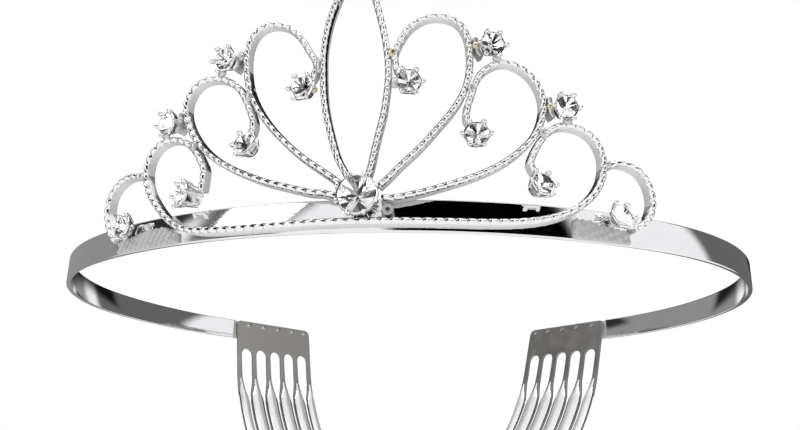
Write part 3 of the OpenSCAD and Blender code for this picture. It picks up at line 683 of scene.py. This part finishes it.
DEEP, SHALLOW, LONG = RIM_O - 0.4 - BACK_O - 0.12, 0.42 * STONE_D + 0.35, 0.9
AROUND = 48


def wall(d, back, foot, z):
    """Outer radius of the cup at depth z below its rim: a straight line from the foot to the wall."""
    r = d / 2 + STONE_PLAY
    return np.interp(z, [-back, -0.105 * d], [r * foot, r + CUP_WALL])


def cup(d, n, back, foot):
    """Thin-walled cup that follows the stone, scalloped between its claws."""
    r = d / 2 + STONE_PLAY
    w = r + CUP_WALL
    depth = d * 0.42
    mid = (back + 0.25 * depth) / 2
    profile = [[0.02, -back], [r * (foot - 0.12), -back], [r * foot, 0.06 - back],
               [wall(d, back, foot, -mid), -mid], [w * 0.97, -0.34 * depth], [w * 0.93, -0.3 * depth],
               [w * 0.99, -0.24 * depth], [w, -0.06 * depth], [w - 0.06, 0.02], [r + 0.05, 0.02],
               [r, -0.05], [r * 0.75, -0.3 * depth], [r * 0.2, -0.93 * depth], [0.02, -0.95 * depth]]
    return revolved(profile, AROUND, n, 0.02)


def claw(path, widths, angle):
    """Blunt claw: a flat oval section that narrows along a path in the radius-height plane."""
    path, widths = np.asarray(path, float), np.asarray(widths, float)
    fine = np.linspace(0, len(path) - 1, 16)
    k = np.arange(len(path))
    r, z, w = (np.interp(fine, k, c) for c in (path[:, 0], path[:, 1], widths))
    d = np.gradient(np.stack([r, z], -1), axis=0)
    d /= np.linalg.norm(d, axis=1, keepdims=True)
    a = np.linspace(0, 2 * np.pi, 10, endpoint=False)[None, :]
    up, wide = 0.36 * w[:, None] * np.cos(a), 0.5 * w[:, None] * np.sin(a)
    radial, height = r[:, None] - up * d[:, None, 1], z[:, None] + up * d[:, None, 0]
    c, s = np.cos(angle), np.sin(angle)
    return tube(np.stack([radial * c - wide * s, radial * s + wide * c, height], -1))


def claws(d, n, flare, reach, back, foot, first=0.0):
    """n claws set evenly round the cup; they rise along its wall and flare past the girdle."""
    w = d / 2 + STONE_PLAY + CUP_WALL
    path = [[wall(d, back, foot, -0.44 * d), -0.44 * d], [wall(d, back, foot, -0.26 * d), -0.26 * d],
            [w + 0.02, -0.08 * d], [w + 0.4 * flare, 0.08 * d], [w + 0.85 * flare, reach - 0.14],
            [w + flare, reach]]
    widths = [0.6, 0.75, 0.85, 0.85, 0.7, 0.15]
    return [claw(path, widths, first + i * 2 * np.pi / n) for i in range(n)]


def brilliant(d):
    """Round brilliant: table, star, kite and girdle facets above, kites and halves below."""
    r, girdle, top, depth = d / 2, 0.03 * d, 0.19 * d, 0.4 * d
    table_r, mid_r, low_r = 0.56 * r, 0.79 * r, 0.3 * r
    c8 = np.cos(np.pi / 8)
    a8, a16 = np.arange(8) * np.pi / 4, np.arange(16) * np.pi / 8

    def ring(angles, radius, z):
        return np.stack([radius * np.cos(angles), radius * np.sin(angles), z + 0 * angles], -1)

    mid_z = girdle + (r - mid_r * c8) / (r - table_r) * (top - girdle)
    low_z = -depth * (1 - low_r * c8 / r)
    points = np.concatenate([ring(a8, table_r, top), ring(a8 + np.pi / 8, mid_r, mid_z),
                             ring(a16, r, girdle), ring(a16, r, 0.0), ring(a8 + np.pi / 8, low_r, low_z),
                             [[0, 0, -depth]]])
    t, m, g, b, p, culet = 0, 8, 16, 32, 48, 56
    faces, slots = [list(range(8))], [0]
    for k in range(8):
        n, before = (k + 1) % 8, (k - 1) % 8
        i, j, l = 2 * k, 2 * k + 1, (2 * k + 2) % 16
        upper = [[t + k, m + k, t + n], [t + k, m + before, g + i, m + k], [m + k, g + i, g + j],
                 [m + k, g + j, g + l], [g + i, b + i, b + j, g + j], [g + j, b + j, b + l, g + l]]
        lower = [[p + k, b + j, b + i], [p + k, b + l, b + j], [culet, p + k, b + i, p + before]]
        faces += upper + lower
        slots += [0] * len(upper) + [1] * len(lower)
    return points, faces, slots


def facet_finishes_and_painted_reflections(slots, seed, weights):
    """Finish of each facet: crystal above, and below, in turn, bright foil with a painted glow, a painted
    dark reflection or a painted smoky reflection with a faint glow.
    """
    pick = np.random.default_rng(seed).choice([1, 2, 3], len(slots), p=weights)
    return np.where(np.array(slots) == 0, 0, pick)


STONE_FINISHES_AND_PAINTED_LIGHT = [CRYSTAL, FOIL_PAINTED_GLOW, FACET_PAINTED_DARK, FACET_PAINTED_SMOKE]
# Shares of glowing bright foil, painted dark reflection and painted smoky reflection, and how far the claws
# flare and reach past the girdle
SMALL_SHARES, SMALL_FLARE, SMALL_REACH = [0.56, 0.29, 0.15], 0.42, 0.58
CENTRE_SHARES, CENTRE_FLARE, CENTRE_REACH = [0.46, 0.34, 0.2], 0.12, 0.7
GEM, GEM_FACES, GEM_SLOTS = brilliant(STONE_D)
for k, (name, centre, side, turn_y, turn_x, word) in enumerate(STONES):
    label = f"{name}_{word}" if word else name
    setting = f"{name}_setting_{word}" if word else "top_setting"
    stone = f"{name}_stone_{word}" if word else "top_stone"
    place = stone_place(centre, side, RIM_O - 0.4, turn_y, turn_x)
    back, foot = (SHALLOW, 0.62) if name == "end" else (DEEP, 0.72)
    if label == "lower_left":
        back, foot = DEEP + LONG, 0.95
    points, faces = together([cup(STONE_D, 6, back, foot)]
                             + claws(STONE_D, 6, SMALL_FLARE, SMALL_REACH, back, foot))
    # The faces of the notch ring below the rim take the dark colour: a painted shade line in the groove.
    groove = np.zeros(len(faces), int)
    groove[4 * AROUND:6 * AROUND] = 1
    finish_piece(piece(f"{label}_claw_cup", place(points), faces, [CLAW_SILVER, DARK_PAINTED_SHADE], groove,
                       crease=55), "claw_silver", setting)
    spin = turned("Z", 37 * k)
    finish_piece(piece(f"{label}_crystal", place(GEM @ spin.T), GEM_FACES, STONE_FINISHES_AND_PAINTED_LIGHT,
                       facet_finishes_and_painted_reflections(GEM_SLOTS, 11 + k, SMALL_SHARES), smooth=False), "crystal", stone)

place = stone_place(CENTRE_C, 1, RIM_O, 0, -3)
back, foot = 0.42 * CENTRE_D + 0.35, 0.62
points, faces = together([cup(CENTRE_D, 8, back, foot)]
                         + claws(CENTRE_D, 8, CENTRE_FLARE, CENTRE_REACH, back, foot, np.pi / 8))
finish_piece(piece("centre_claw_cup", place(points), faces, [CLAW_SILVER], crease=55), "claw_silver",
             "centre_setting")
GEM, GEM_FACES, GEM_SLOTS = brilliant(CENTRE_D)
finish_piece(piece("centre_crystal", place(GEM @ turned("Z", 12).T), GEM_FACES, STONE_FINISHES_AND_PAINTED_LIGHT,
                   facet_finishes_and_painted_reflections(GEM_SLOTS, 5, CENTRE_SHARES), smooth=False), "crystal", "centre_stone")

for node, material in (("inner_link_left", FOOT_MATTE), ("inner_link_right", FOOT_MATTE),
                       ("outer_link_left", FOOT_MATTE), ("outer_link_right", FOOT_MATTE),
                       ("rolled_end", FOOT_MATTE)):
    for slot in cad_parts[node].material_slots:
        slot.material = material


# ---------------------------------------------------------------- floor, light and camera
def surround_level(nt, direction):
    """Socket with the brightness of the surround along a direction: 1, lowered on each dark card."""
    total = None
    for az, el, half_w, half_h, dark in CARDS:
        a, e = np.radians(az), np.radians(el)
        ahead = Vector((np.sin(a) * np.cos(e), -np.cos(a) * np.cos(e), np.sin(e)))
        right = Vector((np.cos(a), np.sin(a), 0))
        up = right.cross(-ahead) * -1
        card = None
        for axis, low, high in ((right, np.sin(np.radians(half_w)), 0), (up, np.sin(np.radians(half_h)), 0),
                                (ahead, 0, 1)):
            dot = nt.nodes.new("ShaderNodeVectorMath")
            dot.operation = "DOT_PRODUCT"
            dot.inputs[1].default_value = axis
            nt.links.new(direction, dot.inputs[0])
            value = dot.outputs["Value"]
            if not high:
                size = nt.nodes.new("ShaderNodeMath")
                size.operation = "ABSOLUTE"
                nt.links.new(value, size.inputs[0])
                value = size.outputs[0]
            edge = nt.nodes.new("ShaderNodeMapRange")
            edge.interpolation_type = "SMOOTHSTEP"
            edge.inputs["From Min"].default_value = low - CARD_EDGE
            edge.inputs["From Max"].default_value = low + CARD_EDGE
            edge.inputs["To Min"].default_value = 1 - high
            edge.inputs["To Max"].default_value = high
            nt.links.new(value, edge.inputs["Value"])
            card = product(nt, card, edge.outputs["Result"])
        depth = nt.nodes.new("ShaderNodeMath")
        depth.operation = "MULTIPLY_ADD"
        depth.inputs[1].default_value = -dark
        depth.inputs[2].default_value = 1
        nt.links.new(card, depth.inputs[0])
        total = product(nt, total, depth.outputs[0])
    seen = nt.nodes.new("ShaderNodeLightPath")
    plain = nt.nodes.new("ShaderNodeMath")
    plain.operation = "MAXIMUM"
    nt.links.new(seen.outputs["Is Camera Ray"], plain.inputs[0])
    nt.links.new(total, plain.inputs[1])
    return plain.outputs[0]


def product(nt, first, second):
    """Socket with first times second, or second alone when there is no first."""
    if first is None:
        return second
    times = nt.nodes.new("ShaderNodeMath")
    times.operation = "MULTIPLY"
    nt.links.new(first, times.inputs[0])
    nt.links.new(second, times.inputs[1])
    return times.outputs[0]


FLOOR_HALF, FLOOR_Z = 1.5, -0.0515


def floor_and_light():
    """Pale floor under the comb tips, a bright surround with a few dark cards, and soft boxes. The
    floor glows evenly and mirrors carry the cards on into it."""
    e, z = FLOOR_HALF, FLOOR_Z
    floor = piece("studio_floor", [[-e, -e, z], [e, -e, z], [e, e, z], [-e, e, z]], [[0, 1, 2, 3]], [])
    m = bpy.data.materials.new("studio_floor_white")
    m.use_nodes = True
    nt = m.node_tree
    nt.nodes.clear()
    coord, unit, glow, out = (nt.nodes.new(kind) for kind in (
        "ShaderNodeTexCoord", "ShaderNodeVectorMath", "ShaderNodeEmission", "ShaderNodeOutputMaterial"))
    unit.operation = "NORMALIZE"
    nt.links.new(coord.outputs["Object"], unit.inputs[0])
    glow.inputs["Color"].default_value = (1, 1, 1, 1)
    nt.links.new(surround_level(nt, unit.outputs["Vector"]), glow.inputs["Strength"])
    nt.links.new(glow.outputs[0], out.inputs["Surface"])
    floor.data.materials.append(m)

    world = bpy.data.worlds.new("studio_surround")
    bpy.context.scene.world = world
    world.use_nodes = True
    nt = world.node_tree
    nt.nodes.clear()
    coord, back, out = (nt.nodes.new(kind) for kind in (
        "ShaderNodeTexCoord", "ShaderNodeBackground", "ShaderNodeOutputWorld"))
    back.inputs["Color"].default_value = (1, 1, 1, 1)
    nt.links.new(surround_level(nt, coord.outputs["Generated"]), back.inputs["Strength"])
    nt.links.new(back.outputs[0], out.inputs["Surface"])

    for name, place, size, power in SOFT_BOXES:
        light = bpy.data.lights.new(name, "AREA")
        light.shape = "RECTANGLE"
        light.size, light.size_y = size
        light.energy = power
        ob = bpy.data.objects.new(name, light)
        ob.location = place
        aim = Vector((0, -0.03, 0.01)) - Vector(place)
        ob.rotation_euler = aim.to_track_quat("-Z", "Y").to_euler()
        bpy.context.scene.collection.objects.link(ob)


# Dark cards of the surround: azimuth from the front towards +X, elevation, half width, half height, darkness
CARDS = [(28, 38, 26, 20, 1.0), (-50, 34, 14, 18, 0.84), (-84, 30, 10, 18, 0.9), (-127, 0, 48, 36, 0.7),
         (138, 0, 32, 32, 0.86), (180, 13, 32, 20, 0.95)]
CARD_EDGE = 0.05
# Name, place, size and power of each lamp
SOFT_BOXES = [("soft_box_left", (-0.5, -0.5, 0.5), (0.3, 0.3), 0.8),
              ("soft_box_top", (0.1, 0.1, 0.8), (0.5, 0.4), 1.4)]
floor_and_light()


# Camera place and the point it looks at in millimetres, its roll in degrees, lens and sensor width
CAMERA_PLACE, CAMERA_LOOK, CAMERA_ROLL = (22.617, -169.082, 28.493), (2.33, -21.191, 22.185), -1.702
SENSOR, LENS = 36, 36 * 770.8 / 800


def front_camera():
    """Camera a little above and to the right of the front, level apart from a small roll."""
    cam = bpy.data.cameras.new("camera")
    cam.sensor_width = SENSOR
    cam.lens = LENS
    cam.clip_start = 0.01
    ob = bpy.data.objects.new("camera", cam)
    place, look = Vector(CAMERA_PLACE) * MM, Vector(CAMERA_LOOK) * MM
    ahead = (look - place).normalized()
    right = ahead.cross(Vector((0, 0, 1))).normalized()
    up = right.cross(ahead)
    roll = np.radians(CAMERA_ROLL)
    right, up = right * np.cos(roll) + up * np.sin(roll), up * np.cos(roll) - right * np.sin(roll)
    frame_axes = Matrix((right, up, -ahead)).transposed().to_4x4()
    ob.matrix_world = Matrix.Translation(place) @ frame_axes
    bpy.context.scene.collection.objects.link(ob)
    bpy.context.scene.camera = ob


front_camera()
bpy.context.scene.view_settings.view_transform = "Standard"
